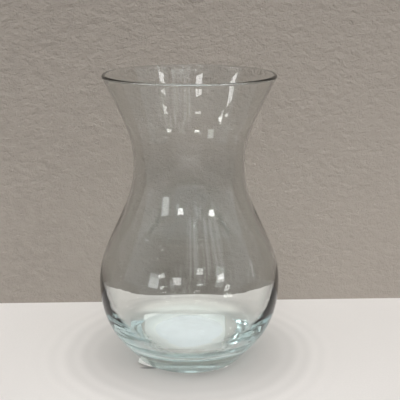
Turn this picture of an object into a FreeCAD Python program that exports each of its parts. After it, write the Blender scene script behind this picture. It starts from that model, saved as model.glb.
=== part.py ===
import FreeCAD, Part
import math
import os
import Sketcher

# Rose bowl vase: one piece of clear glass with a paper label stuck under its base.
# Millimetres. The origin is on the vase's axis, at the table, and +Z is up.

SIZES = [
    ("glass_height", 203.0, "foot to the top of the rim"),
    ("foot_radius", 38.5, "outer edge of the flat ring that the glass stands on"),
    ("foot_round", 1.5, "rounding between the flat ring and the heel"),
    ("heel_share", 0.862, "radius of the heel's arc, of the largest that fits above the foot"),
    ("heel_drop", 15.0, "how far below the widest place the heel's arc ends"),
    ("belly_radius", 64.4, "widest radius of the belly"),
    ("belly_height", 54.8, "height of the widest place"),
    ("lower_belly_curve", 84.0, "radius of the belly's arc below the widest place"),
    ("upper_belly_curve", 65.0, "radius of the belly's arc above the widest place"),
    ("waist_radius", 38.9, "narrowest radius of the neck"),
    ("waist_height", 141.1, "height of the narrowest place"),
    ("neck_share", 0.808, "radius of the arc below the waist, of the largest that fits"),
    ("flare_share", 0.765, "radius of the arc above the waist, of the largest that fits"),
    ("mouth_radius", 59.2, "outermost radius of the rim"),
    ("rim_round", 1.35, "half the thickness of the melted rim"),
    ("waist_wall", 1.4, "wall at the waist"),
    ("belly_wall", 2.3, "wall at the widest place"),
    ("bowl_lift", 3.7, "how far the inside's widest place is above the outside's"),
    ("upper_bowl_step", 17.0, "how much tighter the inside's upper arc is than the belly's"),
    ("lower_bowl_step", 18.0, "how much tighter the inside's lower arc is than the belly's"),
    ("inner_heel_drop", 14.5, "how far below its widest place the inner heel's arc ends"),
    ("inner_heel_curve", 49.5, "radius of the inner heel's arc"),
    ("floor_curve", 10.5, "radius of the arc round the floor"),
    ("base_thickness", 15.5, "glass under the floor"),
    ("kick_radius", 27.5, "radius of the shallow hollow under the base"),
    ("kick_height", 0.8, "depth of that hollow at the middle"),
    ("label_width", 64.0, "label from left to right"),
    ("label_depth", 59.0, "label from front to back"),
    ("label_round", 3.2, "rounding of the label's corners"),
    ("label_thickness", 0.15, "paper with its glue"),
    ("label_shift_x", -3.8, "label's middle, to the right of the axis"),
    ("label_shift_y", -0.2, "label's middle, behind the axis"),
    ("label_turn", -1.0, "degrees, seen from above"),
]

os.makedirs("parts", exist_ok=True)
doc = FreeCAD.newDocument("rose_bowl_vase")
sheet = doc.addObject("Spreadsheet::Sheet", "sizes")
size = {}
for row, (word, value, meaning) in enumerate(SIZES, start=1):
    sheet.set(f"A{row}", meaning)
    sheet.set(f"B{row}", str(value))
    sheet.setAlias(f"B{row}", word)
    size[word] = value
doc.recompute()

# A sketch numbers an edge's ends and centre from 1 up, and its own two axes from -1 down
START, END, MIDDLE = range(1, 4)
ACROSS_LINE, AXIS_LINE = range(-1, -3, -1)
ORIGIN = (ACROSS_LINE, START)


def vector(point):
    return FreeCAD.Vector(point[0], point[1], 0)


def towards(point, centre, share):
    """The point that lies the share of the way from one point to another."""
    return tuple(a + (b - a) * share for a, b in zip(point, centre))


def below(centre, radius, height):
    """The point of a circle at a height, on the side away from the vase's axis."""
    return (centre[0] + math.sqrt(radius**2 - (centre[1] - height) ** 2), height)


def tangent_line(centre_a, reach_a, centre_b, reach_b):
    """Ends of the line that leaves one circle and meets another without a corner.

    A circle on the left of the way along the line has its radius as a negative reach, one on
    the right as a positive reach."""
    gap = math.dist(centre_a, centre_b)
    heading = math.atan2(centre_b[1] - centre_a[1], centre_b[0] - centre_a[0])
    side = heading - math.acos((reach_b - reach_a) / gap)
    across = (math.cos(side), math.sin(side))
    return (
        (centre_a[0] - across[0] * reach_a, centre_a[1] - across[1] * reach_a),
        (centre_b[0] - across[0] * reach_b, centre_b[1] - across[1] * reach_b),
    )


def largest_waist_curve(centre, radius):
    """Radius of the arc that starts upright at the waist and just touches a circle."""
    across = centre[0] - size["waist_radius"]
    rise = centre[1] - size["waist_height"]
    return (across**2 + rise**2 - radius**2) / (2 * (across + radius))


def waist_curve_formula(share, edge, curve, rise):
    """The share of the same radius, for a circle of radius curve whose outermost point is edge."""
    across = f"({edge} - {curve} - sizes.waist_radius)"
    return f"{share} * ({across}^2 + ({rise})^2 - {curve}^2) / (2 * ({edge} - sizes.waist_radius))"


class Outline:
    """Lines and arcs of a sketch, drawn one after another, with the sizes that hold them."""

    def __init__(self, body, name, plane):
        self.sketch = body.newObject("Sketcher::SketchObject", name)
        support = next(item for item in body.Origin.OriginFeatures if item.Role == plane)
        self.sketch.AttachmentSupport = [(support, "")]
        self.sketch.MapMode = "FlatFace"

    def line(self, start, end):
        edge = self.sketch.addGeometry(Part.LineSegment(vector(start), vector(end)), False)
        return edge, START, END

    def arc(self, centre, start, end, turns_left=True):
        """An arc and its two ends in the order in which the outline passes them."""
        first, last = (start, end) if turns_left else (end, start)
        angles = [math.atan2(point[1] - centre[1], point[0] - centre[0]) for point in (first, last)]
        circle = Part.Circle(vector(centre), FreeCAD.Vector(0, 0, 1), math.dist(centre, start))
        edge = self.sketch.addGeometry(Part.ArcOfCircle(circle, *angles), False)
        return (edge, START, END) if turns_left else (edge, END, START)

    def rule(self, *words):
        return self.sketch.addConstraint(Sketcher.Constraint(*words))

    def smooth(self, *edges):
        """Joins each edge to the next one with no corner between them."""
        for (edge, _, out_end), (following, in_end, _) in zip(edges, edges[1:]):
            self.rule("Tangent", edge, out_end, following, in_end)

    def meet(self, first, second):
        """Joins the first edge to the second one with a corner between them."""
        self.rule("Coincident", first[0], first[2], second[0], second[1])

    def level(self, *edges):
        """Keeps the centres of arcs at the height of the first one."""
        for edge in edges[1:]:
            self.rule("Horizontal", edges[0][0], MIDDLE, edge[0], MIDDLE)

    def bind(self, name, formula, *words):
        self.sketch.renameConstraint(self.rule(*words), name)
        self.sketch.setExpression("Constraints." + name, formula)

    def radius(self, name, edge, formula):
        self.bind(name, formula, "Radius", edge[0], self.sketch.Geometry[edge[0]].Radius)

    def out(self, name, edge, end, formula):
        """Holds a point's distance from the vase's axis."""
        self.bind(name, formula, "DistanceX", *ORIGIN, edge[0], end, self.sketch.getPoint(edge[0], end).x)

    def up(self, name, edge, end, formula):
        """Holds a point's height above the foot."""
        self.bind(name, formula, "DistanceY", *ORIGIN, edge[0], end, self.sketch.getPoint(edge[0], end).y)


# Outside of the glass, from the foot up: centres of its arcs and the points between them
foot_edge = (size["foot_radius"], 0)
foot_centre = (size["foot_radius"], size["foot_round"])
belly_wide = (size["belly_radius"], size["belly_height"])
belly_low_centre = towards(belly_wide, (0, belly_wide[1]), size["lower_belly_curve"] / belly_wide[0])
belly_top_centre = towards(belly_wide, (0, belly_wide[1]), size["upper_belly_curve"] / belly_wide[0])
heel_end = below(belly_low_centre, size["lower_belly_curve"], belly_wide[1] - size["heel_drop"])

# The largest heel arc goes from the end of the belly's arc straight into the foot's rounding
heel_lean = size["heel_drop"] / size["lower_belly_curve"]
heel_upright = math.sqrt(1 - heel_lean**2)
heel_across = heel_end[0] - foot_centre[0]
heel_rise = heel_end[1] - foot_centre[1]
heel_curve = size["heel_share"] * (
    (heel_across**2 + heel_rise**2 - size["foot_round"] ** 2)
    / (2 * (heel_across * heel_upright - heel_rise * heel_lean - size["foot_round"]))
)
heel_centre = towards(heel_end, belly_low_centre, heel_curve / size["lower_belly_curve"])
foot_end, heel_start = tangent_line(foot_centre, -size["foot_round"], heel_centre, -heel_curve)

waist = (size["waist_radius"], size["waist_height"])
rim_centre = (size["mouth_radius"] - size["rim_round"], size["glass_height"] - size["rim_round"])
neck_curve = size["neck_share"] * largest_waist_curve(belly_top_centre, size["upper_belly_curve"])
flare_curve = size["flare_share"] * largest_waist_curve(rim_centre, size["rim_round"])
neck_centre = (waist[0] + neck_curve, waist[1])
flare_centre = (waist[0] + flare_curve, waist[1])
belly_end, neck_start = tangent_line(
    belly_top_centre, -size["upper_belly_curve"], neck_centre, neck_curve
)
flare_end, rim_start = tangent_line(flare_centre, flare_curve, rim_centre, -size["rim_round"])

# Inside of the glass, from the rim down, with a wall between it and the outside
inner_neck_curve = neck_curve + size["waist_wall"]
inner_flare_curve = flare_curve + size["waist_wall"]
inner_waist = (waist[0] - size["waist_wall"], waist[1])
bowl_wide = (belly_wide[0] - size["belly_wall"], belly_wide[1] + size["bowl_lift"])
bowl_top_curve = size["upper_belly_curve"] - size["upper_bowl_step"]
bowl_low_curve = size["lower_belly_curve"] - size["lower_bowl_step"]
bowl_top_centre = (bowl_wide[0] - bowl_top_curve, bowl_wide[1])
bowl_low_centre = (bowl_wide[0] - bowl_low_curve, bowl_wide[1])
rim_end, mouth_end = tangent_line(rim_centre, -size["rim_round"], flare_centre, -inner_flare_curve)
inner_neck_end, bowl_start = tangent_line(
    neck_centre, -inner_neck_curve, bowl_top_centre, bowl_top_curve
)
bowl_end = below(bowl_low_centre, bowl_low_curve, bowl_wide[1] - size["inner_heel_drop"])
inner_heel_centre = towards(bowl_end, bowl_low_centre, size["inner_heel_curve"] / bowl_low_curve)
corner_reach = size["inner_heel_curve"] - size["floor_curve"]
corner_centre = below(inner_heel_centre, corner_reach, size["base_thickness"] + size["floor_curve"])
corner_start = towards(inner_heel_centre, corner_centre, size["inner_heel_curve"] / corner_reach)
corner_end = (corner_centre[0], size["base_thickness"])
floor_middle = (0, size["base_thickness"])

# Hollow under the base: a shallow dome whose centre is on the axis
kick_curve = (size["kick_radius"] ** 2 + size["kick_height"] ** 2) / (2 * size["kick_height"])
kick_centre = (0, size["kick_height"] - kick_curve)
kick_middle = (0, size["kick_height"])
kick_edge = (size["kick_radius"], 0)

glass = doc.addObject("PartDesign::Body", "glass_body")
glass.Label = "glass_body"
wall = Outline(glass, "wall_outline", "XZ_Plane")
kick = wall.arc(kick_centre, kick_middle, kick_edge, turns_left=False)
foot_ring = wall.line(kick_edge, foot_edge)
foot = wall.arc(foot_centre, foot_edge, foot_end)
heel_side = wall.line(foot_end, heel_start)
heel = wall.arc(heel_centre, heel_start, heel_end)
belly_low = wall.arc(belly_low_centre, heel_end, belly_wide)
belly_top = wall.arc(belly_top_centre, belly_wide, belly_end)
shoulder = wall.line(belly_end, neck_start)
neck = wall.arc(neck_centre, neck_start, waist, turns_left=False)
flare = wall.arc(flare_centre, waist, flare_end, turns_left=False)
flare_side = wall.line(flare_end, rim_start)
rim = wall.arc(rim_centre, rim_start, rim_end)
mouth_side = wall.line(rim_end, mouth_end)
mouth = wall.arc(flare_centre, mouth_end, inner_waist)
inner_neck = wall.arc(neck_centre, inner_waist, inner_neck_end)
inner_shoulder = wall.line(inner_neck_end, bowl_start)
bowl_top = wall.arc(bowl_top_centre, bowl_start, bowl_wide, turns_left=False)
bowl_low = wall.arc(bowl_low_centre, bowl_wide, bowl_end, turns_left=False)
inner_heel = wall.arc(inner_heel_centre, bowl_end, corner_start, turns_left=False)
corner = wall.arc(corner_centre, corner_start, corner_end, turns_left=False)
floor = wall.line(corner_end, floor_middle)
middle = wall.line(floor_middle, kick_middle)

wall.smooth(foot_ring, foot, heel_side, heel, belly_low, belly_top, shoulder, neck, flare)
wall.smooth(flare, flare_side, rim, mouth_side, mouth, inner_neck, inner_shoulder)
wall.smooth(inner_shoulder, bowl_top, bowl_low, inner_heel, corner, floor)
wall.meet(floor, middle)
wall.meet(middle, kick)
wall.meet(kick, foot_ring)
wall.level(belly_low, belly_top)
wall.level(neck, flare)
wall.level(bowl_top, bowl_low)
for edge, end in ((middle, START), (middle, END), (kick, MIDDLE)):
    wall.rule("PointOnObject", edge[0], end, AXIS_LINE)
wall.rule("PointOnObject", foot_ring[0], START, ACROSS_LINE)
for edge in (foot_ring, floor):
    wall.rule("Horizontal", edge[0])
for inner, outer in ((mouth, flare), (inner_neck, neck)):
    wall.rule("Coincident", inner[0], MIDDLE, outer[0], MIDDLE)

lean = "(sizes.heel_drop / sizes.lower_belly_curve)"
upright = f"sqrt(1 - {lean}^2)"
across = f"(sizes.belly_radius - sizes.lower_belly_curve * (1 - {upright}) - sizes.foot_radius)"
rise = "(sizes.belly_height - sizes.heel_drop - sizes.foot_round)"
wall.up("KickHeight", middle, END, "sizes.kick_height")
wall.out("KickRadius", foot_ring, START, "sizes.kick_radius")
wall.out("FootRadius", foot_ring, END, "sizes.foot_radius")
wall.radius("FootRound", foot, "sizes.foot_round")
wall.radius(
    "HeelCurve",
    heel,
    f"sizes.heel_share * ({across}^2 + {rise}^2 - sizes.foot_round^2)"
    f" / (2 * ({across} * {upright} - {rise} * {lean} - sizes.foot_round))",
)
wall.up("HeelHeight", belly_low, START, "sizes.belly_height - sizes.heel_drop")
wall.radius("LowerBellyCurve", belly_low, "sizes.lower_belly_curve")
wall.radius("UpperBellyCurve", belly_top, "sizes.upper_belly_curve")
wall.out("BellyRadius", belly_top, START, "sizes.belly_radius")
wall.up("BellyHeight", belly_low, MIDDLE, "sizes.belly_height")
wall.radius(
    "NeckCurve",
    neck,
    waist_curve_formula(
        "sizes.neck_share",
        "sizes.belly_radius",
        "sizes.upper_belly_curve",
        "sizes.waist_height - sizes.belly_height",
    ),
)
wall.radius(
    "FlareCurve",
    flare,
    waist_curve_formula(
        "sizes.flare_share",
        "sizes.mouth_radius",
        "sizes.rim_round",
        "sizes.glass_height - sizes.rim_round - sizes.waist_height",
    ),
)
wall.out("WaistRadius", flare, flare[1], "sizes.waist_radius")
wall.up("WaistHeight", neck, MIDDLE, "sizes.waist_height")
wall.radius("RimRound", rim, "sizes.rim_round")
wall.out("RimRadius", rim, MIDDLE, "sizes.mouth_radius - sizes.rim_round")
wall.up("RimHeight", rim, MIDDLE, "sizes.glass_height - sizes.rim_round")
wall.out("InnerWaistRadius", inner_neck, START, "sizes.waist_radius - sizes.waist_wall")
wall.radius("UpperBowlCurve", bowl_top, "sizes.upper_belly_curve - sizes.upper_bowl_step")
wall.radius("LowerBowlCurve", bowl_low, "sizes.lower_belly_curve - sizes.lower_bowl_step")
wall.out("BowlRadius", bowl_low, END, "sizes.belly_radius - sizes.belly_wall")
wall.up("BowlHeight", bowl_top, MIDDLE, "sizes.belly_height + sizes.bowl_lift")
wall.up(
    "InnerHeelHeight",
    inner_heel,
    END,
    "sizes.belly_height + sizes.bowl_lift - sizes.inner_heel_drop",
)
wall.radius("InnerHeelCurve", inner_heel, "sizes.inner_heel_curve")
wall.radius("FloorCurve", corner, "sizes.floor_curve")
wall.up("BaseThickness", floor, END, "sizes.base_thickness")

turned = glass.newObject("PartDesign::Revolution", "turned_glass")
turned.Profile = wall.sketch
turned.ReferenceAxis = (wall.sketch, ["V_Axis"])
turned.Angle = 360
glass.Tip = turned
glass.setExpression("Placement.Base.z", "sizes.label_thickness")

# Label: a rectangle of paper with round corners, drawn about its own middle
label = doc.addObject("PartDesign::Body", "base_label")
label.Label = "base_label"
paper = Outline(label, "paper_outline", "XY_Plane")
half = (size["label_width"] / 2, size["label_depth"] / 2)
straight = tuple(reach - size["label_round"] for reach in half)
sides = []
corners = []
for along, aside in (((1, 0), (0, -1)), ((0, 1), (1, 0)), ((-1, 0), (0, 1)), ((0, -1), (-1, 0))):
    start = [aside[axis] * half[axis] - along[axis] * straight[axis] for axis in (0, 1)]
    end = [aside[axis] * half[axis] + along[axis] * straight[axis] for axis in (0, 1)]
    bend = [(aside[axis] + along[axis]) * straight[axis] for axis in (0, 1)]
    after = [along[axis] * half[axis] + aside[axis] * straight[axis] for axis in (0, 1)]
    sides.append(paper.line(start, end))
    corners.append(paper.arc(bend, end, after))
for side, corner_arc, following in zip(sides, corners, sides[1:] + sides[:1]):
    paper.smooth(side, corner_arc, following)
for edge in sides[::2]:
    paper.rule("Horizontal", edge[0])
for edge in sides[1::2]:
    paper.rule("Vertical", edge[0])
for edge in corners[1:]:
    paper.rule("Equal", corners[0][0], edge[0])
paper.radius("CornerRound", corners[0], "sizes.label_round")
paper.up("FrontEdge", sides[0], START, "-sizes.label_depth / 2")
paper.out("RightEdge", sides[1], START, "sizes.label_width / 2")
paper.up("BackEdge", sides[2], START, "sizes.label_depth / 2")
paper.out("LeftEdge", sides[3], START, "-sizes.label_width / 2")

thickness = label.newObject("PartDesign::Pad", "paper_thickness")
thickness.Profile = paper.sketch
thickness.setExpression("Length", "sizes.label_thickness")
label.Tip = thickness
label.Placement.Rotation = FreeCAD.Rotation(FreeCAD.Vector(0, 0, 1), size["label_turn"])
label.setExpression("Placement.Rotation.Angle", "sizes.label_turn * 1 deg")
label.setExpression("Placement.Base.x", "sizes.label_shift_x")
label.setExpression("Placement.Base.y", "sizes.label_shift_y")

doc.recompute()

for item in doc.Objects:
    bad = [word for word in item.State if word in ("Invalid", "Error")]
    if bad:
        raise RuntimeError(f"{item.Name} is {bad}")
for outline in (wall, paper):
    if not outline.sketch.FullyConstrained:
        raise RuntimeError(f"{outline.sketch.Name} still has freedom")
for piece in (glass, label):
    if piece.Shape.isNull() or not piece.Shape.isValid() or len(piece.Shape.Solids) != 1:
        raise RuntimeError(f"{piece.Label} is not one valid solid")
for piece in (glass, label):
    piece.Shape.exportStep(f"parts/{piece.Label}.step")
    box = piece.Shape.optimalBoundingBox(False)
    print(
        f"{piece.Label}: volume {piece.Shape.Volume:.0f} mm3,"
        f" x {box.XMin:.2f} to {box.XMax:.2f}, y {box.YMin:.2f} to {box.YMax:.2f},"
        f" z {box.ZMin:.2f} to {box.ZMax:.2f}"
    )
print(f"heel {heel_curve:.2f}, neck {neck_curve:.2f}, flare {flare_curve:.2f}")
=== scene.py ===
import math

import bpy
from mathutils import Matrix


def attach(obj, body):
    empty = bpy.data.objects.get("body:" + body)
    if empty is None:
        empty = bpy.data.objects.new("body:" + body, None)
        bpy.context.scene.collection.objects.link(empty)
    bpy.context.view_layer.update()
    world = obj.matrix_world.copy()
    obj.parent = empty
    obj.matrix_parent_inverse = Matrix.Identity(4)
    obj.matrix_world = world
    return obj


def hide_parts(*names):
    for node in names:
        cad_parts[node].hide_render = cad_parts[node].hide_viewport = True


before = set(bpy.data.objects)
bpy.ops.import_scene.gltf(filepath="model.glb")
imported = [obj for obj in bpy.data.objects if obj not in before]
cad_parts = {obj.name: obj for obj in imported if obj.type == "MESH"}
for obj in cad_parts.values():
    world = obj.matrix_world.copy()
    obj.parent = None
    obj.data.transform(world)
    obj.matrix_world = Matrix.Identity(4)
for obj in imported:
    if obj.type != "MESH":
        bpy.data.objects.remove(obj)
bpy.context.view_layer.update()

bl_info = {
    "name": "Rose bowl vase",
    "version": (1, 0, 0),
    "blender": (4, 5, 0),
    "location": "3D View > Sidebar > Vase",
    "description": "A clear glass rose bowl vase with a paper label under its base, on a plain stage",
    "category": "Object",
}

MM = 0.001
BODY = "root"
WALL_TURN = math.radians(1.9)

# Bright openings that the glass mirrors: middle and half width in degrees to the right of the
# front, bottom and top in degrees above the level, and glow.
WINDOWS = ((-46, 6, 5, 20, 3.2), (-22, 2.5, 12, 17, 1.6))

# Middle and half sizes of the shade under the label's free corner, to the right and to the back.
FLAP_SHADE = ((-28.5 * MM, -30.8 * MM), (6.5 * MM, 1.9 * MM))

# How light each patch of the table and of the wall is, as a share of their own colours. Clouds, grain
# and the raised relief are their own tone; all the other patches are painted light and shade.
TABLE_SHADES = {
    "clouds": 1.03,
    "grain": 0.98,
    "rings": 0.86,
    "painted shade beside the foot": 0.7,
    "focused light": 1.4,
    "painted shadow under the flap": 0.2,
    "painted shade on open floor": 0.64,
    "unlit": 0.25,
}
WALL_SHADES = {"left": 0.92, "right": 1.16, "raised": 1.1, "painted shade behind glass": 0.58}

# Glow of each part of the room that the glass mirrors, where 1 is white.
ROOM_GLOW = {
    "front": 0.1,
    "sides": 0.4,
    "shelves": 0.08,
    "shelves on the right": 1.1,
    "high walls": 0.2,
    "ceiling": 0.5,
    "ceiling patches": 1.9,
    "lamps": 6.0,
}

# Share of the blown unevenness that each part of the glass gets.
WAVES = {
    "foot": 0.1,
    "heel": 0.5,
    "outside": 0.3,
    "flare": 0.2,
    "rim": 0.1,
    "inner flare": 0.5,
    "inner neck": 0.7,
    "inner shoulder": 0.8,
    "bowl": 1.0,
    "corner": 0.8,
}


def length(name, millimetres, description):
    """A size of the vase, shown in the scene's own unit."""
    return bpy.props.FloatProperty(
        name=name, description=description, default=millimetres * MM, unit="LENGTH", precision=5
    )


def share(name, value, description):
    return bpy.props.FloatProperty(
        name=name, description=description, default=value, min=0.0, max=1.0, subtype="FACTOR"
    )


def amount(name, value, description):
    return bpy.props.FloatProperty(name=name, description=description, default=value, min=0.0)


def colour(name, value, description):
    return bpy.props.FloatVectorProperty(
        name=name, description=description, default=value, size=3, min=0.0, max=1.0, subtype="COLOR"
    )


def whole(name, value, description):
    return bpy.props.IntProperty(name=name, description=description, default=value, min=1)


class GlassSizes(bpy.types.PropertyGroup):
    """Sizes of the glass: those of its solid, a softer floor curve, and what blowing adds."""

    foot_level: length("Foot level", 0.15, "Underside of the foot, on top of the label")
    glass_height: length("Height", 203.0, "Foot to the top of the rim")
    foot_radius: length("Foot radius", 38.5, "Outer edge of the flat ring that it stands on")
    foot_round: length("Foot rounding", 1.5, "Rounding between the flat ring and the heel")
    heel_share: share("Heel share", 0.862, "Radius of the heel's arc, of the largest that fits")
    heel_drop: length("Heel drop", 15.0, "How far below the widest place the heel's arc ends")
    belly_radius: length("Belly radius", 64.4, "Widest radius")
    belly_height: length("Belly height", 54.8, "Height of the widest place")
    lower_belly_curve: length("Lower belly curve", 84.0, "Arc below the widest place")
    upper_belly_curve: length("Upper belly curve", 65.0, "Arc above the widest place")
    waist_radius: length("Waist radius", 38.9, "Narrowest radius of the neck")
    waist_height: length("Waist height", 141.1, "Height of the narrowest place")
    neck_share: share("Neck share", 0.808, "Arc below the waist, of the largest that fits")
    flare_share: share("Flare share", 0.765, "Arc above the waist, of the largest that fits")
    mouth_radius: length("Mouth radius", 59.2, "Outermost radius of the rim")
    rim_round: length("Rim rounding", 1.35, "Half the thickness of the melted rim")
    waist_wall: length("Waist wall", 1.4, "Wall at the waist")
    belly_wall: length("Belly wall", 2.3, "Wall at the widest place")
    bowl_lift: length("Bowl lift", 3.7, "Inside's widest place above the outside's")
    upper_bowl_step: length("Upper bowl step", 17.0, "How much tighter the inside's upper arc is")
    lower_bowl_step: length("Lower bowl step", 18.0, "How much tighter the inside's lower arc is")
    inner_heel_drop: length("Inner heel drop", 14.5, "Inner heel's end below the widest place")
    inner_heel_curve: length("Inner heel curve", 49.5, "Radius of the inner heel's arc")
    floor_curve: length("Floor curve", 20.0, "Radius of the arc round the floor")
    base_thickness: length("Base thickness", 15.5, "Glass under the floor")
    kick_radius: length("Hollow radius", 27.5, "Radius of the shallow hollow under the base")
    kick_height: length("Hollow height", 0.8, "Depth of that hollow at the middle")
    flare_bow: length("Flare bow", 0.25, "How far the blown flare stands inside its straight part")
    corner_push: length("Corner push", 1.1, "How far the blown corner stands out of its arcs")
    corner_height: length("Corner height", 19.5, "Height at which it stands out most")
    segments: whole("Segments", 280, "Flat sides round the vase")
    step: length("Step", 2.6, "Longest step along the section")
    fine_step: length("Fine step", 1.3, "Longest step along the base and the lower bowl")
    wave: length("Wave", 0.1, "Unevenness of the blown inside")
    wave_size: length("Wave size", 26.0, "Distance between the waves")
    ring_depth: length("Ring depth", 0.06, "Fine rings that blowing leaves round the base")
    ring_size: length("Ring size", 3.2, "Distance between the rings")
    seed: whole("Seed", 7, "Which waves the glass has")


class LabelSizes(bpy.types.PropertyGroup):
    """Sizes of the paper label under the base."""

    width: length("Width", 64.0, "From left to right")
    depth: length("Depth", 59.0, "From front to back")
    corner: length("Corner rounding", 3.2, "Rounding of its corners")
    thickness: length("Thickness", 0.15, "Paper with its glue")
    bond: length("Bond", 0.03, "How far the glue fills the skin of the glass")
    shift_x: length("Shift to the right", -3.8, "Its middle, to the right of the axis")
    shift_y: length("Shift to the back", -0.2, "Its middle, behind the axis")
    turn: bpy.props.FloatProperty(
        name="Turn",
        description="Seen from above",
        default=math.radians(-1.0),
        unit="ROTATION",
        subtype="ANGLE",
    )
    curl: length("Curl", 5.0, "Lift of a corner that stands 10 mm past the foot")


class VaseFinish(bpy.types.PropertyGroup):
    """Colours of the vase."""

    glass_tint: colour("Glass tint", (0.45, 0.83, 0.87), "What light keeps on its way through")
    glass_density: amount("Glass density", 5.6, "How strongly the glass tints light")
    clean_glass: colour("Clean glass", (0.985, 0.987, 0.977), "What its skin lets through")
    dusty_glass: colour("Dusty glass", (0.86, 0.87, 0.85), "The same, at a speck of dust")
    paper: colour("Paper", (0.93, 0.95, 1.0), "Label where it spans the hollow")
    glued_paper: colour("Glued paper", (1.0, 0.97, 0.95), "Label where glue holds it on the glass")


class StageSettings(bpy.types.PropertyGroup):
    """Table, wall and light round the vase."""

    floor: colour("Floor", (0.69, 0.667, 0.65), "Pale table")
    wall: colour("Wall", (0.318, 0.285, 0.253), "Grey-taupe wall")
    wall_distance: length("Wall distance", 90.0, "From the vase's axis to the wall")
    lamp_glow: amount("Panel glow", 9.5, "Brightness of each ceiling panel")
    sky: amount("Room light", 1.13, "Strength of the light from the whole room")


class Wire:
    """A socket of a node. Sums and products with it add Math nodes."""

    def __init__(self, tree, socket):
        self.tree = tree
        self.socket = socket

    def other(self, name):
        """Another output of the same node."""
        return Wire(self.tree, self.socket.node.outputs[name])

    def work(self, operation, *terms):
        return self.tree.add("ShaderNodeMath", {"operation": operation}, dict(enumerate(terms)))

    def __add__(self, term):
        return self.work("ADD", self, term)

    def __radd__(self, term):
        return self.work("ADD", term, self)

    def __sub__(self, term):
        return self.work("SUBTRACT", self, term)

    def __rsub__(self, term):
        return self.work("SUBTRACT", term, self)

    def __mul__(self, term):
        return self.work("MULTIPLY", self, term)

    def __rmul__(self, term):
        return self.work("MULTIPLY", term, self)

    def __truediv__(self, term):
        return self.work("DIVIDE", self, term)

    def __rtruediv__(self, term):
        return self.work("DIVIDE", term, self)

    def __mod__(self, term):
        return self.work("MODULO", self, term)

    def floor(self):
        return self.work("FLOOR", self)

    def root(self):
        return self.work("SQRT", self)

    def sine(self):
        return self.work("SINE", self)

    def cosine(self):
        return self.work("COSINE", self)

    def unsigned(self):
        return self.work("ABSOLUTE", self)

    def larger(self, term):
        """The larger of two numbers."""
        return self.work("MAXIMUM", self, term)

    def above(self, low, high):
        """From 0 to 1 as the number goes from low to high."""
        settings = {"interpolation_type": "SMOOTHSTEP"}
        return self.tree.add("ShaderNodeMapRange", settings, {"Value": self, 1: low, 2: high})


class Tree:
    """A node tree, with one way to add any node."""

    def __init__(self, node_tree):
        self.nodes = node_tree.nodes
        self.links = node_tree.links
        self.nodes.clear()

    def add(self, kind, settings=None, sockets=None, out=0):
        """Adds a node, sets its settings, then its sockets, and returns one of its outputs."""
        node = self.nodes.new(kind)
        for name, value in (settings or {}).items():
            if name == "stops":
                self.set_stops(node.color_ramp, value)
            else:
                setattr(node, name, value)
        for name, value in (sockets or {}).items():
            if isinstance(value, Wire):
                self.links.new(value.socket, node.inputs[name])
            else:
                node.inputs[name].default_value = value
        return Wire(self, node.outputs[out]) if node.outputs else None

    @staticmethod
    def set_stops(ramp, stops):
        while len(ramp.elements) < len(stops):
            ramp.elements.new(0.5)
        for element, (position, shade) in zip(ramp.elements, stops):
            element.position = position
            element.color = (*shade, 1.0)

    def noise(self, vector, grains, detail=2.0, roughness=0.5):
        """Soft random spots, so many to a metre."""
        sockets = {"Vector": vector, "Scale": grains, "Detail": detail, "Roughness": roughness}
        return self.add("ShaderNodeTexNoise", None, sockets)

    def circling(self, place, grains, turns, detail, seed=0.0):
        """Spots drawn out along circles round the vase, so many to a metre across them."""
        across, deep, up, radius = place
        vector = self.add(
            "ShaderNodeCombineXYZ",
            None,
            {"X": radius * grains, "Y": up * grains, "Z": across / radius * turns},
        )
        return self.add(
            "ShaderNodeTexNoise",
            {"noise_dimensions": "4D"},
            {"Vector": vector, "W": deep / radius * turns + seed, "Scale": 1.0, "Detail": detail},
        )

    def place(self, vector):
        """Distances to the right, to the back, upwards, and from the vase's axis."""
        across = self.add("ShaderNodeSeparateXYZ", None, {0: vector}, out="X")
        deep = across.other("Y")
        return across, deep, across.other("Z"), (across * across + deep * deep).root()

    def stretched(self, vector, factors):
        return self.add("ShaderNodeVectorMath", {"operation": "MULTIPLY"}, {0: vector, 1: factors})

    def mix(self, factor, first, second):
        """A colour between two others."""
        return self.add(
            "ShaderNodeMix", {"data_type": "RGBA"}, {0: factor, 6: first, 7: second}, out=2
        )

    def bump(self, height, strength, distance):
        sockets = {"Height": height, "Strength": strength, "Distance": distance}
        return self.add("ShaderNodeBump", None, sockets)

    def reflected(self):
        """1 for what shows by reflection in the glass, 0 for what shows through it or beside it."""
        bounces = self.add("ShaderNodeLightPath", out="Glossy Depth")
        straight = bounces.work("LESS_THAN", bounces.other("Diffuse Depth"), 0.5)
        return bounces.work("MINIMUM", bounces, 1.0) * straight

    def here(self):
        return self.add("ShaderNodeTexCoord", out="Object")


def new_material(name):
    material = bpy.data.materials.new(name)
    material.use_nodes = True
    return material, Tree(material.node_tree)


def opaque(shade):
    return (*shade, 1.0)


def lighter(shade, factor):
    return opaque([min(1.0, part * factor) for part in shade])


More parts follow.
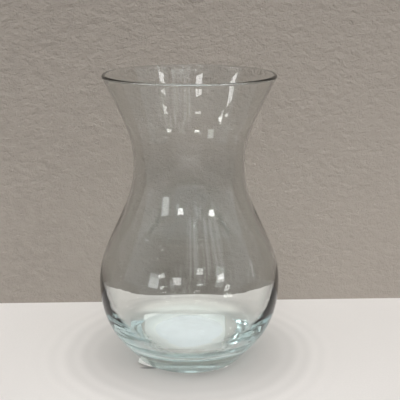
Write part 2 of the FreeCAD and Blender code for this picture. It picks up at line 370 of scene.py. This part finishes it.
def clear_glass(finish):
    """Clear soda-lime glass: faint green in its thickness, faint wipe marks and drawn streaks."""
    material, tree = new_material("clear_glass")
    here = tree.here()
    place = tree.place(here)
    up, radius = place[2:]
    wipes = tree.noise(here, grains=34.0, detail=3.0, roughness=0.6).above(0.56, 0.74)
    specks = tree.noise(here, grains=900.0, detail=1.0).above(0.72, 0.78)
    ripples = tree.noise(here, grains=95.0, detail=1.5, roughness=0.4)
    lumps = tree.noise(here, grains=240.0, detail=1.5)
    streaks = tree.circling(place, grains=520.0, turns=2.2, detail=1.5)
    round_hollow = radius.above(26 * MM, 36 * MM)
    low_down = 1.0 - up.above(30 * MM, 60 * MM) * 0.97
    ripple_share = 0.15
    streak_share = 0.5
    lump_share = 0.6
    marks = (streaks * streak_share + lumps * lump_share) * round_hollow * low_down
    skin = ripples * ripple_share + marks
    skin_depth = 0.04 * MM
    clean = opaque(finish.clean_glass)
    shader = tree.add(
        "ShaderNodeBsdfPrincipled",
        None,
        {
            "Base Color": tree.mix(specks * 0.3, clean, opaque(finish.dusty_glass)),
            "Roughness": wipes * 0.01 + specks * 0.06,
            "Normal": tree.bump(skin, 1.0, skin_depth),
            "IOR": 1.51,
            "Transmission Weight": 1.0,
        },
    )
    depth = tree.add(
        "ShaderNodeVolumeAbsorption",
        None,
        {"Color": opaque(finish.glass_tint), "Density": finish.glass_density},
    )
    tree.add("ShaderNodeOutputMaterial", None, {"Surface": shader, "Volume": depth})
    return material


def label_paper(finish, hollow_radius):
    """White coated paper with fibres and a faint cloudiness, warmer where it is glued."""
    material, tree = new_material("label_paper")
    here = tree.here()
    radius = tree.place(here)[3]
    cloud = tree.noise(here, grains=70.0, detail=3.0).above(0.42, 0.62)
    fibres = tree.noise(here, grains=1400.0, detail=4.0, roughness=0.65)
    pressed = tree.noise(here, grains=260.0)
    glued = radius.above(hollow_radius - 2 * MM, hollow_radius)
    toned = tree.mix(cloud, lighter(finish.paper, 0.93), opaque(finish.paper))
    warmed = tree.mix(glued, toned, opaque(finish.glued_paper))
    shaded = tree.mix(fibres.above(0.45, 0.75) * 0.35, warmed, opaque(finish.paper))
    skin_depth = 0.05 * MM
    shader = tree.add(
        "ShaderNodeBsdfPrincipled",
        None,
        {
            "Base Color": shaded,
            "Roughness": 0.5 + fibres * 0.2,
            "Normal": tree.bump(fibres + pressed * 2.0, 0.25, skin_depth),
        },
    )
    tree.add("ShaderNodeOutputMaterial", None, {"Surface": shader})
    return material


def flap_shade(across, deep):
    """1 in the shade under the label's free corner, which is an oval."""
    middle, reach = FLAP_SHADE
    right = (across - middle[0]) / reach[0]
    back = (deep - middle[1]) / reach[1]
    return 1.0 - (right * right + back * back).above(0.4, 1.3)


def table_top(stage):
    """Pale smooth table, with painted rings of light and shade round the vase, painted shade next to
    its foot, under the label's free corner, far away and where the glass mirrors it, and a painted
    pool of light behind the foot.
    """
    material, tree = new_material("table_top")
    here = tree.here()
    across, deep, _, true_radius = tree.place(here)
    uneven = 12 * MM
    radius = true_radius + (tree.noise(here, grains=14.0) - 0.5) * uneven
    side = across.unsigned()
    cloud = tree.noise(here, grains=5.0, detail=3.0)
    grain = tree.noise(here, grains=700.0)

    # Painted rings of light and shade on the table round the vase.
    ring_gap = 12.083 * MM
    rings = 0.5 + (radius * (math.tau / ring_gap)).sine() * 0.5
    rings = rings * radius.above(42 * MM, 55 * MM) * (1.0 - radius.above(75 * MM, 120 * MM))
    # Painted shade next to the foot, left out just behind the vase.
    lit_behind = deep.above(-20 * MM, 20 * MM) * (1.0 - side.above(15 * MM, 35 * MM))
    painted_shade_beside_foot = radius.above(30 * MM, 42 * MM) * (1.0 - radius.above(50 * MM, 100 * MM))
    # A painted pool of light on the table behind the foot.
    focused = deep.above(30 * MM, 40 * MM) * (1.0 - side.above(30 * MM, 50 * MM))
    focused = focused * (1.0 - radius.above(55 * MM, 75 * MM))
    # Painted shade beyond the wall and on the table far from the vase.
    wall_line = stage.wall_distance
    from_wall = deep - across * math.tan(WALL_TURN)
    behind_wall = from_wall.above(wall_line, wall_line + 0.5 * MM)
    painted_shade_on_open_floor = behind_wall.larger(radius.above(200 * MM, 600 * MM))
    # Painted shade where the glass mirrors the table, in front and off to the sides.
    in_front = 1.0 - deep.above(-500 * MM, -350 * MM)
    unlit = in_front.larger(side.above(70 * MM, 160 * MM) * 0.7) * tree.reflected()

    masks = {
        "clouds": cloud.above(0.3, 0.7),
        "grain": grain.above(0.4, 0.6) * 0.5,
        "rings": rings * 0.6,
        "painted shade beside the foot": painted_shade_beside_foot * (1.0 - lit_behind),
        "focused light": focused * 0.8,
        # Painted shadow under the label's free corner.
        "painted shadow under the flap": flap_shade(across, deep) * 0.7,
        "painted shade on open floor": painted_shade_on_open_floor,
        "unlit": unlit,
    }
    shade = opaque(stage.floor)
    for name, mask in masks.items():
        shade = tree.mix(mask, shade, lighter(stage.floor, TABLE_SHADES[name]))
    shader = tree.add(
        "ShaderNodeBsdfPrincipled", None, {"Base Color": shade, "Roughness": 0.55 + cloud * 0.1}
    )
    tree.add("ShaderNodeOutputMaterial", None, {"Surface": shader})
    return material


def painted_wall(stage):
    """Grey-taupe wall with an embossed skin, painted darker on the left, lighter on the right and a
    little lighter low down, and painted darker where it shows through or in the glass. Its back lets
    the eye and the light through.
    """
    material, tree = new_material("painted_wall")
    here = tree.here()
    across, _, up, _ = tree.place(here)
    patches = tree.noise(here, grains=16.0, detail=4.0, roughness=0.6)
    drawn_out = tree.stretched(here, (0.75, 1.0, 1.0))
    worms = tree.noise(drawn_out, grains=190.0, detail=3.0, roughness=0.6)
    grain = tree.noise(here, grains=900.0, detail=2.0, roughness=0.7)
    # Painted light: darker on the left, lighter on the right, a little lighter low down; the soft
    # patches are the wall's own uneven tone.
    low = 1.0 - up.above(0.0, 350 * MM)
    from_right = across.above(-250 * MM, 250 * MM)
    light = from_right * 0.75 + low * 0.05 + patches.above(0.3, 0.7) * 0.2
    shades = {name: lighter(stage.wall, part) for name, part in WALL_SHADES.items()}
    toned = tree.mix(light, shades["left"], shades["right"])
    embossed = tree.mix(worms.above(0.35, 0.7) * 0.6, toned, shades["raised"])

    # Painted shade: darker where the wall shows through the glass, less so high up, and darker off to
    # the sides where the glass mirrors it.
    by_glass = tree.add("ShaderNodeLightPath", out="Is Transmission Ray")
    mirrored = tree.reflected()
    straight = 0.8 - up.above(110 * MM, 150 * MM) * 0.5
    aside = across.unsigned().above(30 * MM, 120 * MM) * 0.9
    shade = by_glass * (straight * (1.0 - mirrored) + aside * mirrored)
    relief = (worms + grain * 0.4) * (0.7 + up.above(50 * MM, 300 * MM))
    relief_depth = 2.6 * MM
    shader = tree.add(
        "ShaderNodeBsdfPrincipled",
        None,
        {
            "Base Color": tree.mix(shade, embossed, shades["painted shade behind glass"]),
            "Roughness": 0.8,
            "Normal": tree.bump(relief, 0.9, relief_depth),
        },
    )
    behind = tree.add("ShaderNodeNewGeometry", out="Backfacing")
    nothing = tree.add("ShaderNodeBsdfTransparent")
    surface = tree.add("ShaderNodeMixShader", None, {0: behind, 1: shader, 2: nothing})
    tree.add("ShaderNodeOutputMaterial", None, {"Surface": surface})
    return material


def towards(point, centre, part):
    """The point that lies the part of the way from one point to another."""
    return tuple(a + (b - a) * part for a, b in zip(point, centre))


def below(centre, radius, height):
    """The point of a circle at a height, on the side away from the vase's axis."""
    return (centre[0] + math.sqrt(radius**2 - (centre[1] - height) ** 2), height)


def tangent_line(centre_a, reach_a, centre_b, reach_b):
    """Ends of the line that leaves one circle and meets another without a corner."""
    gap = math.dist(centre_a, centre_b)
    heading = math.atan2(centre_b[1] - centre_a[1], centre_b[0] - centre_a[0])
    side = heading - math.acos((reach_b - reach_a) / gap)
    across = (math.cos(side), math.sin(side))
    return (
        (centre_a[0] - across[0] * reach_a, centre_a[1] - across[1] * reach_a),
        (centre_b[0] - across[0] * reach_b, centre_b[1] - across[1] * reach_b),
    )


def largest_waist_curve(sizes, centre, radius):
    """Radius of the arc that starts upright at the waist and just touches a circle."""
    across = centre[0] - sizes.waist_radius
    rise = centre[1] - sizes.waist_height
    return (across**2 + rise**2 - radius**2) / (2 * (across + radius))


class Section:
    """Half of the glass cut through its axis: points as (radius, height) and their wave."""

    finest = math.radians(7.0)
    corner_spread = 0.35

    def __init__(self, step):
        self.step = step
        self.points = []
        self.waves = []

    def extend(self, points, wave):
        for point in points:
            if not self.points or math.dist(point, self.points[-1]) > 0.001 * self.step:
                self.points.append(point)
                self.waves.append(wave)

    def line(self, start, end, wave=0.0, bow=0.0):
        """A line, or a very shallow curve that stands off it by the bow, to its left."""
        reach = math.dist(start, end)
        count = max(1, math.ceil(reach / self.step))
        run = []
        for part in range(count + 1):
            across, height = towards(start, end, part / count)
            off = 4 * bow * part * (count - part) / (count**2 * reach)
            run.append((across - (end[1] - start[1]) * off, height + (end[0] - start[0]) * off))
        self.extend(run, wave)

    def arc(self, centre, start, end, wave=0.0):
        """The shorter arc from one point to the other."""
        radius = math.dist(centre, start)
        first = math.atan2(start[1] - centre[1], start[0] - centre[0])
        last = math.atan2(end[1] - centre[1], end[0] - centre[0])
        turn = (last - first + math.pi) % math.tau - math.pi
        by_length = math.ceil(abs(turn) * radius / self.step)
        by_angle = math.ceil(abs(turn) / self.finest)
        count = max(2, by_length, by_angle)
        angles = [first + turn * part / count for part in range(count + 1)]
        run = [
            (centre[0] + radius * math.cos(angle), centre[1] + radius * math.sin(angle))
            for angle in angles
        ]
        self.extend(run, wave)

    def widen(self, floor, height, push):
        """Presses the inside outwards round a height, where the blown corner is fullest."""
        inside = self.waves.index(max(self.waves))
        for number, (radius, level) in enumerate(self.points):
            if number > inside and level > floor:
                near = math.exp(-((level - height) / (self.corner_spread * height)) ** 2)
                self.points[number] = (radius + push * near, level)


def glass_section(glass):
    """The glass from the middle of its underside, up the outside and down the inside."""
    section = Section(glass.fine_step)
    foot_edge = (glass.foot_radius, 0.0)
    foot_centre = (glass.foot_radius, glass.foot_round)
    wide = (glass.belly_radius, glass.belly_height)
    low_centre = (wide[0] - glass.lower_belly_curve, wide[1])
    top_centre = (wide[0] - glass.upper_belly_curve, wide[1])
    heel_end = below(low_centre, glass.lower_belly_curve, wide[1] - glass.heel_drop)
    lean = glass.heel_drop / glass.lower_belly_curve
    upright = math.sqrt(1 - lean**2)
    across = heel_end[0] - foot_centre[0]
    rise = heel_end[1] - foot_centre[1]
    heel_curve = glass.heel_share * (
        (across**2 + rise**2 - glass.foot_round**2)
        / (2 * (across * upright - rise * lean - glass.foot_round))
    )
    heel_centre = towards(heel_end, low_centre, heel_curve / glass.lower_belly_curve)
    foot_end, heel_start = tangent_line(foot_centre, -glass.foot_round, heel_centre, -heel_curve)

    waist = (glass.waist_radius, glass.waist_height)
    rim_centre = (glass.mouth_radius - glass.rim_round, glass.glass_height - glass.rim_round)
    neck_curve = glass.neck_share * largest_waist_curve(glass, top_centre, glass.upper_belly_curve)
    flare_curve = glass.flare_share * largest_waist_curve(glass, rim_centre, glass.rim_round)
    neck_centre = (waist[0] + neck_curve, waist[1])
    flare_centre = (waist[0] + flare_curve, waist[1])
    belly_end, neck_start = tangent_line(
        top_centre, -glass.upper_belly_curve, neck_centre, neck_curve
    )
    flare_end, rim_start = tangent_line(flare_centre, flare_curve, rim_centre, -glass.rim_round)

    bowl = (wide[0] - glass.belly_wall, wide[1] + glass.bowl_lift)
    bowl_top_curve = glass.upper_belly_curve - glass.upper_bowl_step
    bowl_low_curve = glass.lower_belly_curve - glass.lower_bowl_step
    bowl_top_centre = (bowl[0] - bowl_top_curve, bowl[1])
    bowl_low_centre = (bowl[0] - bowl_low_curve, bowl[1])
    inner_waist = (waist[0] - glass.waist_wall, waist[1])
    rim_end, mouth_end = tangent_line(
        rim_centre, -glass.rim_round, flare_centre, -flare_curve - glass.waist_wall
    )
    inner_neck_end, bowl_start = tangent_line(
        neck_centre, -neck_curve - glass.waist_wall, bowl_top_centre, bowl_top_curve
    )
    bowl_end = below(bowl_low_centre, bowl_low_curve, bowl[1] - glass.inner_heel_drop)
    inner_centre = towards(
        bowl_end, bowl_low_centre, glass.inner_heel_curve / bowl_low_curve
    )
    corner_reach = glass.inner_heel_curve - glass.floor_curve
    corner_centre = below(inner_centre, corner_reach, glass.base_thickness + glass.floor_curve)
    corner_start = towards(inner_centre, corner_centre, glass.inner_heel_curve / corner_reach)
    corner_end = (corner_centre[0], glass.base_thickness)

    kick_curve = (glass.kick_radius**2 + glass.kick_height**2) / (2 * glass.kick_height)
    kick_centre = (0.0, glass.kick_height - kick_curve)
    kick_edge = (glass.kick_radius, 0.0)
    section.arc(kick_centre, (0.0, glass.kick_height), kick_edge)
    section.line(kick_edge, foot_edge)
    section.arc(foot_centre, foot_edge, foot_end)
    section.line(foot_end, heel_start, WAVES["foot"])
    section.arc(heel_centre, heel_start, heel_end, WAVES["heel"])
    section.arc(low_centre, heel_end, wide, WAVES["outside"])
    section.step = glass.step
    section.arc(top_centre, wide, belly_end, WAVES["outside"])
    section.line(belly_end, neck_start, WAVES["outside"])
    section.arc(neck_centre, neck_start, waist, WAVES["outside"])
    section.arc(flare_centre, waist, flare_end, WAVES["outside"])
    section.line(flare_end, rim_start, WAVES["flare"], glass.flare_bow)
    rim_top = (rim_centre[0], glass.glass_height)
    section.arc(rim_centre, rim_start, rim_top, WAVES["rim"])
    section.arc(rim_centre, rim_top, rim_end, WAVES["rim"])
    section.line(rim_end, mouth_end, WAVES["flare"], -glass.flare_bow)
    section.arc(flare_centre, mouth_end, inner_waist, WAVES["inner flare"])
    section.arc(neck_centre, inner_waist, inner_neck_end, WAVES["inner neck"])
    section.line(inner_neck_end, bowl_start, WAVES["inner shoulder"])
    section.arc(bowl_top_centre, bowl_start, bowl, WAVES["bowl"])
    section.step = glass.fine_step
    section.arc(bowl_low_centre, bowl, bowl_end, WAVES["bowl"])
    section.arc(inner_centre, bowl_end, corner_start, WAVES["bowl"])
    section.arc(corner_centre, corner_start, corner_end, WAVES["corner"])
    section.line(corner_end, (0.0, glass.base_thickness), WAVES["bowl"])
    section.widen(glass.base_thickness, glass.corner_height, glass.corner_push)
    return section


def section_object(sizes):
    """The section as a line of points, each with the share of the wave that it gets."""
    section = glass_section(sizes)
    mesh = bpy.data.meshes.new("glass_section")
    points = [(radius, 0.0, height + sizes.foot_level) for radius, height in section.points]
    edges = [(first, first + 1) for first in range(len(points) - 1)]
    mesh.from_pydata(points, edges, [])
    mesh.attributes.new("wave", "FLOAT", "POINT").data.foreach_set("value", section.waves)
    line = bpy.data.objects.new("glass_section", mesh)
    bpy.context.scene.collection.objects.link(line)
    return line


def blowing_tree():
    """Geometry nodes that turn a section into glass, with a seeded unevenness of its walls."""
    group = bpy.data.node_groups.new("turned_glass", "GeometryNodeTree")
    for name, kind in (
        ("Section", "NodeSocketGeometry"),
        ("Segments", "NodeSocketInt"),
        ("Wave", "NodeSocketFloat"),
        ("Wave size", "NodeSocketFloat"),
        ("Ring depth", "NodeSocketFloat"),
        ("Ring size", "NodeSocketFloat"),
        ("Seed", "NodeSocketFloat"),
        ("Glass", "NodeSocketMaterial"),
    ):
        group.interface.new_socket(name, in_out="INPUT", socket_type=kind)
    group.interface.new_socket("Vase", in_out="OUTPUT", socket_type="NodeSocketGeometry")
    tree = Tree(group)
    given = tree.add("NodeGroupInput")
    section = given.other("Section")
    count = tree.add("GeometryNodeAttributeDomainSize", {"component": "MESH"}, {0: section})
    around = given.other("Segments") + 1.0
    sheet = tree.add("GeometryNodeMeshGrid", None, {"Vertices X": count, "Vertices Y": around})
    index = tree.add("GeometryNodeInputIndex")
    point = (index / around).floor()
    angle = (index % around) * -math.tau / given.other("Segments")
    place = tree.add("GeometryNodeInputPosition")
    found = tree.add(
        "GeometryNodeSampleIndex",
        {"data_type": "FLOAT_VECTOR"},
        {"Geometry": section, "Value": place, "Index": point},
    )
    parts = tree.add("ShaderNodeSeparateXYZ", None, {0: found}, out="X")
    turned = tree.add(
        "ShaderNodeCombineXYZ",
        None,
        {"X": parts * angle.cosine(), "Y": parts * angle.sine(), "Z": parts.other("Z")},
    )
    told = tree.add(
        "GeometryNodeInputNamedAttribute", {"data_type": "FLOAT"}, {"Name": "wave"}
    )
    wave = tree.add(
        "GeometryNodeSampleIndex",
        {"data_type": "FLOAT"},
        {"Geometry": section, "Value": told, "Index": point},
    )
    kept = tree.add(
        "GeometryNodeStoreNamedAttribute",
        {"data_type": "FLOAT", "domain": "POINT"},
        {"Geometry": sheet, "Name": "wave", "Value": wave},
    )
    shaped = tree.add("GeometryNodeSetPosition", None, {"Geometry": kept, "Position": turned})
    closed = tree.add(
        "GeometryNodeMergeByDistance", None, {"Geometry": shaped, "Distance": 0.002 * MM}
    )
    spread = tree.add(
        "ShaderNodeVectorMath",
        {"operation": "SCALE"},
        {0: place, "Scale": 1.0 / given.other("Wave size")},
    )
    noise = tree.add(
        "ShaderNodeTexNoise",
        {"noise_dimensions": "4D"},
        {"Vector": spread, "W": given.other("Seed"), "Scale": 1.0, "Detail": 0.0},
    )
    spot = tree.place(place)
    up = spot[2]
    fineness = 1.0 / given.other("Ring size")
    rings = tree.circling(spot, fineness, turns=1.3, detail=0.0, seed=given.other("Seed"))
    low_down = 1.0 - up.above(30 * MM, 70 * MM) * 0.85
    ring_lift = (rings - 0.5) * given.other("Ring depth") * low_down
    lift = ((noise - 0.5) * given.other("Wave") + ring_lift) * 2.0 * told
    push = tree.add(
        "ShaderNodeVectorMath",
        {"operation": "SCALE"},
        {0: tree.add("GeometryNodeInputNormal"), "Scale": lift},
    )
    uneven = tree.add("GeometryNodeSetPosition", None, {"Geometry": closed, "Offset": push})
    smooth = tree.add("GeometryNodeSetShadeSmooth", None, {"Geometry": uneven})
    whole_glass = tree.add("GeometryNodeRealizeInstances", None, {"Geometry": smooth})
    finished = tree.add(
        "GeometryNodeSetMaterial", None, {"Geometry": whole_glass, "Material": given.other("Glass")}
    )
    tree.add("NodeGroupOutput", None, {0: finished})
    return group


def apply_nodes(line, group, values, name):
    """Runs a tree on an object and keeps only the plain mesh that comes out."""
    modifier = line.modifiers.new("nodes", "NODES")
    modifier.node_group = group
    for item in group.interface.items_tree:
        if item.in_out == "INPUT" and item.name in values:
            modifier[item.identifier] = values[item.name]
    ready = line.evaluated_get(bpy.context.evaluated_depsgraph_get())
    mesh = bpy.data.meshes.new_from_object(ready)
    mesh.name = name
    piece = bpy.data.objects.new(name, mesh)
    bpy.context.scene.collection.objects.link(piece)
    line.modifiers.remove(modifier)
    bpy.data.objects.remove(line)
    return piece


class VASE_OT_glass(bpy.types.Operator):
    """Blow the glass: foot, base, belly, waist, flare and rim in one piece"""

    bl_idname = "vase.glass"
    bl_label = "Glass"

    def execute(self, context):
        sizes = context.scene.vase_glass
        values = {
            "Segments": sizes.segments,
            "Wave": sizes.wave,
            "Wave size": sizes.wave_size,
            "Ring depth": sizes.ring_depth,
            "Ring size": sizes.ring_size,
            "Seed": float(sizes.seed),
            "Glass": clear_glass(context.scene.vase_finish),
        }
        glass = apply_nodes(section_object(sizes), blowing_tree(), values, "clear_glass_vase")
        if len(glass.data.polygons) < sizes.segments:
            raise RuntimeError("the glass came out empty")
        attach(glass, BODY)
        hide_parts("glass_body")
        return {"FINISHED"}


def label_outline(sizes, corner_steps=8, side_steps=12):
    """Points of the label's edge about its own middle, anticlockwise from above."""
    reach = (sizes.width / 2 - sizes.corner, sizes.depth / 2 - sizes.corner)
    corners = []
    for quarter, (right, back) in enumerate(((1, -1), (1, 1), (-1, 1), (-1, -1))):
        for part in range(corner_steps + 1):
            angle = (quarter - 1 + part / corner_steps) * math.pi / 2
            across = right * reach[0] + sizes.corner * math.cos(angle)
            corners.append((across, back * reach[1] + sizes.corner * math.sin(angle)))
    edge = []
    for number, point in enumerate(corners, start=1):
        after = corners[number % len(corners)]
        steps = 1 if number % (corner_steps + 1) else side_steps
        edge += [towards(point, after, part / steps) for part in range(steps)]
    return edge


def paper_lift(sizes, foot_radius, x, y):
    """Height to which a corner of the label that stands past the foot has curled."""
    full_reach = 10 * MM
    slowness = 1.6
    elsewhere = 0.15
    past = max(0.0, math.hypot(x, y) - foot_radius) / full_reach
    front_left = math.radians(-135.0)
    facing = max(0.0, math.cos(math.atan2(y, x) - front_left))
    return sizes.curl * past**slowness * (elsewhere + (1.0 - elsewhere) * facing)


def label_mesh(sizes, foot_radius, rings):
    """The paper's top, underside and edge. Each side has rings of points round its middle."""
    edge = label_outline(sizes)
    turn = (math.cos(sizes.turn), math.sin(sizes.turn))
    points = []
    faces = []
    count = len(edge)
    for level in (sizes.thickness + sizes.bond, 0.0):
        for ring in range(rings + 1):
            part = math.sqrt(ring / rings)
            for x, y in edge if ring else edge[:1]:
                across = (x * turn[0] - y * turn[1]) * part + sizes.shift_x
                deep = (x * turn[1] + y * turn[0]) * part + sizes.shift_y
                lift = paper_lift(sizes, foot_radius, across, deep)
                points.append((across, deep, level + lift))
    sheet = 1 + count * rings
    for start, way in ((0, 1), (sheet, -1)):
        for item in range(count):
            after = (item + 1) % count
            faces.append((start, start + 1 + item, start + 1 + after)[::way])
            for ring in range(rings - 1):
                near = start + 1 + ring * count
                far = near + count
                faces.append((near + item, far + item, far + after, near + after)[::way])
    rim = 1 + count * (rings - 1)
    for item in range(count):
        after = (item + 1) % count
        faces.append((rim + item, sheet + rim + item, sheet + rim + after, rim + after))
    mesh = bpy.data.meshes.new("paper_label")
    mesh.from_pydata(points, [], faces)
    return mesh


class VASE_OT_label(bpy.types.Operator):
    """Stick the paper label under the base, with its free corner slightly curled"""

    bl_idname = "vase.label"
    bl_label = "Label"

    rings = 26

    def execute(self, context):
        scene = context.scene
        mesh = label_mesh(scene.vase_label, scene.vase_glass.foot_radius, self.rings)
        mesh.materials.append(label_paper(scene.vase_finish, scene.vase_glass.kick_radius))
        label = bpy.data.objects.new("paper_label", mesh)
        scene.collection.objects.link(label)
        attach(label, BODY)
        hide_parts("base_label")
        return {"FINISHED"}


def flat_sheet(name, corners, material):
    """A flat part of the stage: the table or the wall."""
    mesh = bpy.data.meshes.new(name)
    mesh.from_pydata(corners, [], [(0, 1, 2, 3)])
    mesh.materials.append(material)
    sheet = bpy.data.objects.new(name, mesh)
    bpy.context.scene.collection.objects.link(sheet)


def ceiling_panel(name, place, size, glow):
    """A bright rectangle overhead, end on to the vase. Its glow is the light of each part."""
    light = bpy.data.lights.new(name, "AREA")
    light.shape = "RECTANGLE"
    light.size = size[0]
    light.size_y = size[1]
    light.energy = glow * math.pi * size[0] * size[1]
    panel = bpy.data.objects.new(name, light)
    panel.location = place
    panel.rotation_euler = (0.0, 0.0, math.atan2(place[0], -place[1]))
    bpy.context.scene.collection.objects.link(panel)


def opening(turn, rise, middle, half, low, high):
    """1 inside a bright opening of the room, in degrees from the front and above the level."""
    soft = math.radians(1.0)
    left = math.radians(middle - half)
    right = math.radians(middle + half)
    wide = turn.above(left - soft, left) * (1.0 - turn.above(right, right + soft))
    bottom = math.radians(low)
    top = math.radians(high)
    return wide * rise.above(bottom - soft, bottom) * (1.0 - rise.above(top, top + soft))


def lamp_row(along, height, spacing, shift, width):
    """1 under the lamps of a ceiling, which lie in rows across one direction."""
    edge = 0.02
    part = along.work("FRACT", along / height * spacing + shift)
    return 1.0 - part.above(width, width + edge)


def mirrored_room(tree, way):
    """What the glass shows of the room: dim in front, paler at the sides, lamps far overhead."""
    across, deep, up, _ = tree.place(way)
    side = across.unsigned()
    turn = up.work("ARCTAN2", across, deep * -1.0)
    rise = up.work("ARCSINE", up)

    upright = tree.stretched(way, (9.0, 9.0, 1.4))
    shelves = tree.noise(upright, grains=1.0, roughness=0.6).above(0.42, 0.6)
    on_right = turn.above(-0.15, 0.0) * (1.0 - turn.above(1.0, 1.2)) * rise.above(0.15, 0.3)
    shelf_glow = ROOM_GLOW["shelves"] + on_right * ROOM_GLOW["shelves on the right"]
    walls = ROOM_GLOW["front"] + side.above(0.5, 0.95) * ROOM_GLOW["sides"]
    walls = walls + shelves * shelf_glow + up.above(0.45, 0.6) * ROOM_GLOW["high walls"]

    height = up.larger(0.1)
    columns = lamp_row(across, height, spacing=1.7, shift=0.3, width=0.14)
    rows = lamp_row(deep, height, spacing=1.3, shift=0.1, width=0.2)
    patches = tree.noise(way, grains=6.0).above(0.5, 0.6)
    overhead = up.above(0.7, 0.78) * (1.0 - side.above(0.2, 0.6) * 0.93)
    ceiling = ROOM_GLOW["ceiling"] + patches * ROOM_GLOW["ceiling patches"]
    ceiling = ceiling + columns * rows * ROOM_GLOW["lamps"]

    room = walls + overhead * ceiling
    for middle, half, low, high, glow in WINDOWS:
        room = room + opening(turn, rise, middle, half, low, high) * glow
    return room


def room_light(strength):
    """A room that is bright overhead and on the right, and dimmer where glass mirrors it."""
    world = bpy.data.worlds.new("room")
    world.use_nodes = True
    bpy.context.scene.world = world
    tree = Tree(world.node_tree)
    way = tree.add("ShaderNodeTexCoord", out="Generated")
    right, _, up, _ = tree.place(way)
    stops = [
        (0.0, (0.34, 0.33, 0.32)),
        (0.5, (0.4, 0.39, 0.37)),
        (0.6, (0.5, 0.49, 0.47)),
        (0.7, (0.72, 0.71, 0.69)),
        (0.85, (1.0, 1.0, 0.99)),
    ]
    room = tree.add("ShaderNodeValToRGB", {"stops": stops}, {"Fac": up * 0.5 + 0.5})
    overhead = up.above(0.45, 0.8) * (1.0 - up.above(0.9, 1.0) * 0.5)
    bright = strength * (1.0 + right * 0.25 + overhead * 1.1)
    lit = tree.add("ShaderNodeBackground", None, {"Color": room, "Strength": bright})
    mirrored = tree.add(
        "ShaderNodeBackground",
        None,
        {"Color": (0.96, 1.0, 1.0, 1.0), "Strength": mirrored_room(tree, way)},
    )
    glossy = tree.add("ShaderNodeLightPath", out="Is Glossy Ray")
    by_glass = glossy.larger(glossy.other("Is Transmission Ray"))
    shown = by_glass * tree.reflected()
    both = tree.add("ShaderNodeMixShader", None, {0: shown, 1: lit, 2: mirrored})
    tree.add("ShaderNodeOutputWorld", None, {"Surface": both})


class VASE_OT_stage(bpy.types.Operator):
    """Lay the table, stand the wall behind it, hang the ceiling panels and set the camera"""

    bl_idname = "vase.stage"
    bl_label = "Stage"

    reach = 4.0
    focal_pixels = 794.6
    picture_pixels = 400.0
    axis_pixel = 189.25
    camera_place = (0.0, -0.5391, 0.2653)
    camera_pitch = math.radians(15.64)
    bounces = 24
    mirror_bounces = 12
    panels = (
        ((1.88, -1.63, 2.1), (0.35, 0.24)),
        ((-0.7, -2.17, 2.1), (0.45, 0.22)),
        ((-3.21, -0.62, 2.1), (0.45, 0.5)),
        ((4.15, -4.61, 2.1), (1.0, 2.0)),
        ((-1.71, -5.96, 2.1), (1.0, 2.0)),
        ((-3.56, -1.59, 2.1), (0.5, 0.9)),
    )

    def execute(self, context):
        stage = context.scene.vase_stage
        reach = self.reach
        flat_sheet(
            "table",
            [(-reach, -reach, 0.0), (reach, -reach, 0.0), (reach, reach, 0.0), (-reach, reach, 0.0)],
            table_top(stage),
        )
        left = stage.wall_distance - reach * math.tan(WALL_TURN)
        right = stage.wall_distance + reach * math.tan(WALL_TURN)
        flat_sheet(
            "wall",
            [(-reach, left, 0.0), (reach, right, 0.0), (reach, right, reach), (-reach, left, reach)],
            painted_wall(stage),
        )
        for number, (place, size) in enumerate(self.panels):
            ceiling_panel(f"panel_{number}", place, size, stage.lamp_glow)
        room_light(stage.sky)
        lens = bpy.data.cameras.new("camera")
        lens.sensor_width = 36.0
        lens.lens = lens.sensor_width * self.focal_pixels / self.picture_pixels
        lens.shift_x = (self.picture_pixels / 2 - self.axis_pixel) / self.picture_pixels
        lens.clip_start = 10 * MM
        camera = bpy.data.objects.new("camera", lens)
        camera.location = self.camera_place
        camera.rotation_euler = (math.pi / 2 - self.camera_pitch, 0.0, 0.0)
        context.scene.collection.objects.link(camera)
        context.scene.camera = camera
        context.scene.view_settings.view_transform = "Standard"
        context.scene.cycles.max_bounces = self.bounces
        context.scene.cycles.transmission_bounces = self.bounces
        context.scene.cycles.glossy_bounces = self.mirror_bounces
        context.scene.cycles.blur_glossy = 0.0
        return {"FINISHED"}


class VASE_PT_panel(bpy.types.Panel):
    """The vase's pieces and their sizes"""

    bl_label = "Rose bowl vase"
    bl_idname = "VASE_PT_panel"
    bl_space_type = "VIEW_3D"
    bl_region_type = "UI"
    bl_category = "Vase"

    def draw(self, context):
        for step, group in STEPS:
            self.layout.operator(step.bl_idname)
            settings = getattr(context.scene, group)
            for name in settings.__annotations__:
                self.layout.prop(settings, name)
        for name in VaseFinish.__annotations__:
            self.layout.prop(context.scene.vase_finish, name)


STEPS = ((VASE_OT_glass, "vase_glass"), (VASE_OT_label, "vase_label"), (VASE_OT_stage, "vase_stage"))
GROUPS = {
    "vase_glass": GlassSizes,
    "vase_label": LabelSizes,
    "vase_finish": VaseFinish,
    "vase_stage": StageSettings,
}
CLASSES = (*GROUPS.values(), VASE_OT_glass, VASE_OT_label, VASE_OT_stage, VASE_PT_panel)


def register():
    for item in CLASSES:
        bpy.utils.register_class(item)
    for name, group in GROUPS.items():
        setattr(bpy.types.Scene, name, bpy.props.PointerProperty(type=group))


def unregister():
    for name in GROUPS:
        delattr(bpy.types.Scene, name)
    for item in reversed(CLASSES):
        bpy.utils.unregister_class(item)


def main():
    register()
    bpy.ops.vase.glass()
    bpy.ops.vase.label()
    bpy.ops.vase.stage()


if __name__ == "__main__":
    main()
